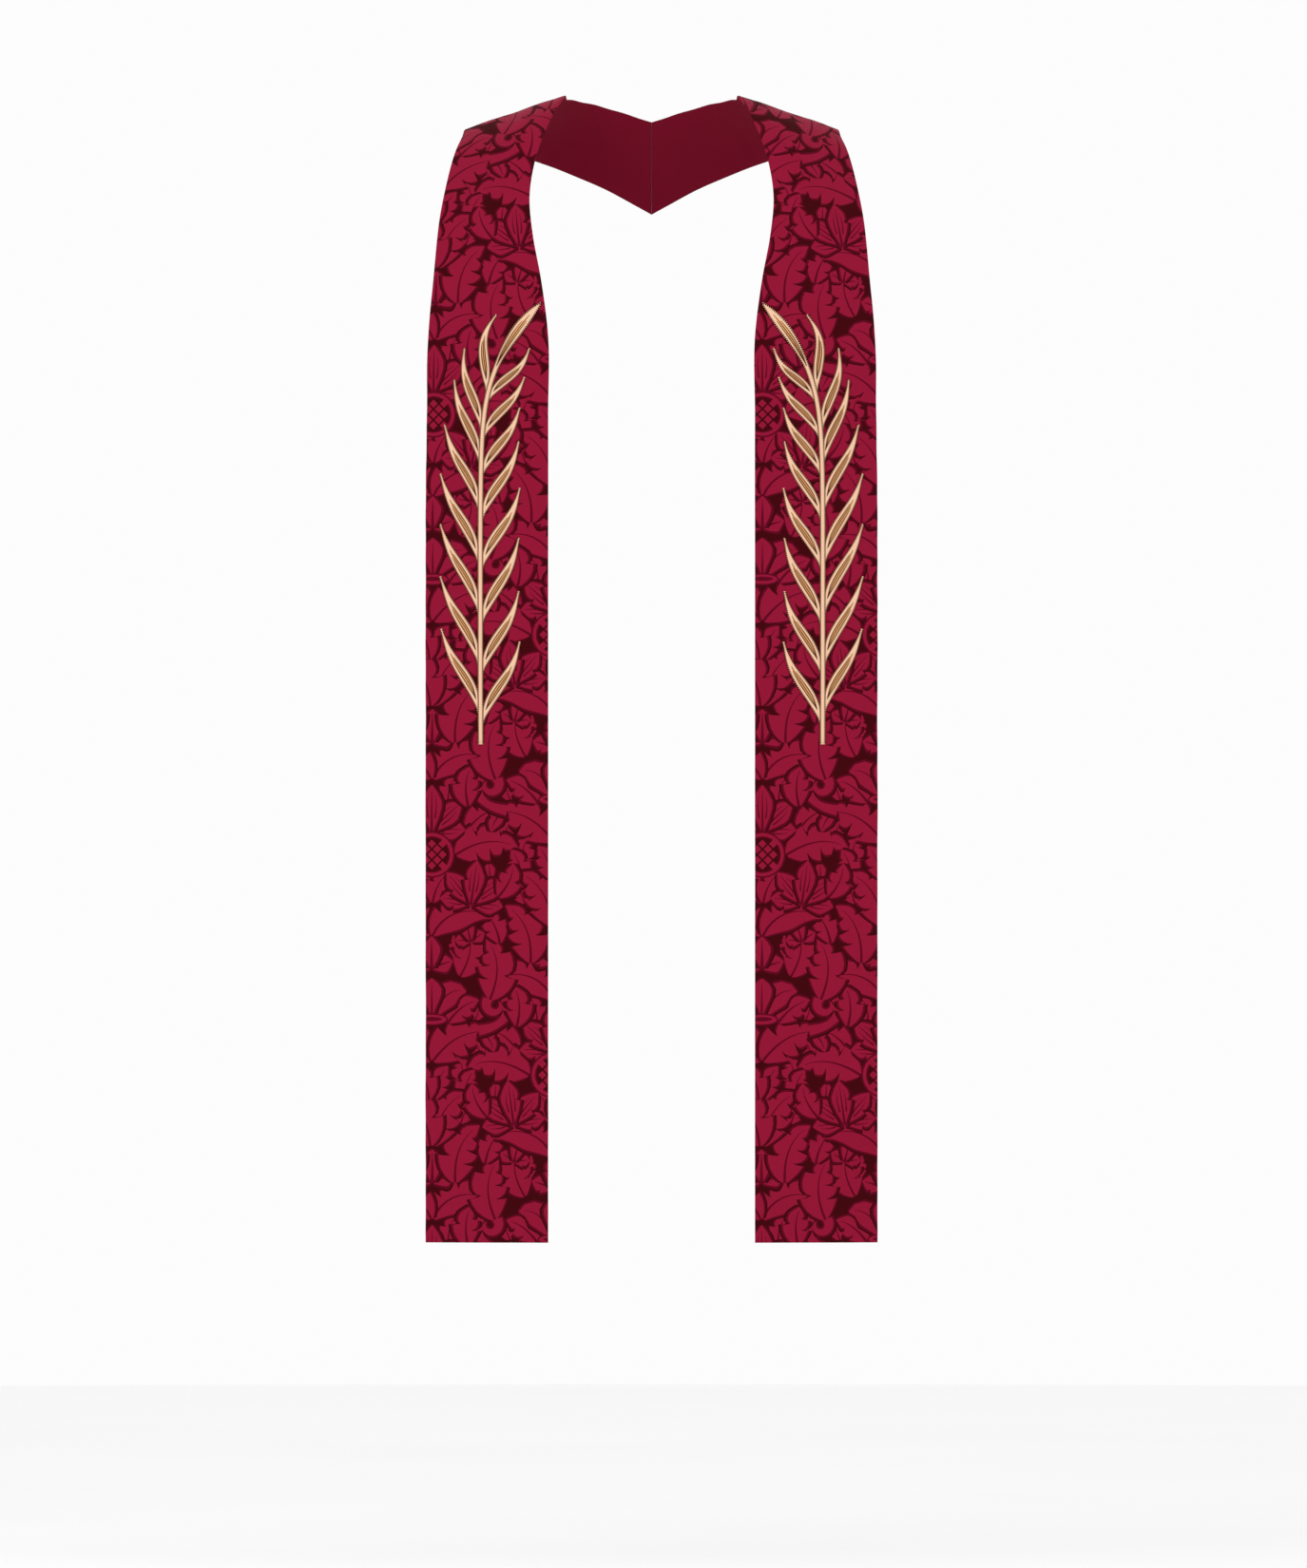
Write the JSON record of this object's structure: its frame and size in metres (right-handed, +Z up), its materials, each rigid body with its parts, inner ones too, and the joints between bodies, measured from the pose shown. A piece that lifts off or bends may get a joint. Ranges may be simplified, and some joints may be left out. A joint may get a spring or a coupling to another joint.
{
  "type": "clerical stole",
  "caption": "Clerical stole in crimson leaf damask, worn round the neck and hanging open in front, with a gold palm branch applied to each side.",
  "frame": {"origin": "midway between the two points where the inner edges cross the shoulder ridge, where the wearer's shoulders hold the stole", "axes": "+Z up, -Y towards the front, +X towards the wearer's left"},
  "size_m": [0.4688, 0.2412, 1.1932],
  "materials": {
    "damask": "satin damask",
    "gold_satin": "satin"
  },
  "bodies": {
    "root": {"stole_half_left": "damask", "stole_half_right": "damask", "palm_applique_left": "gold_satin", "palm_applique_right": "gold_satin"}
  },
  "joints": []
}
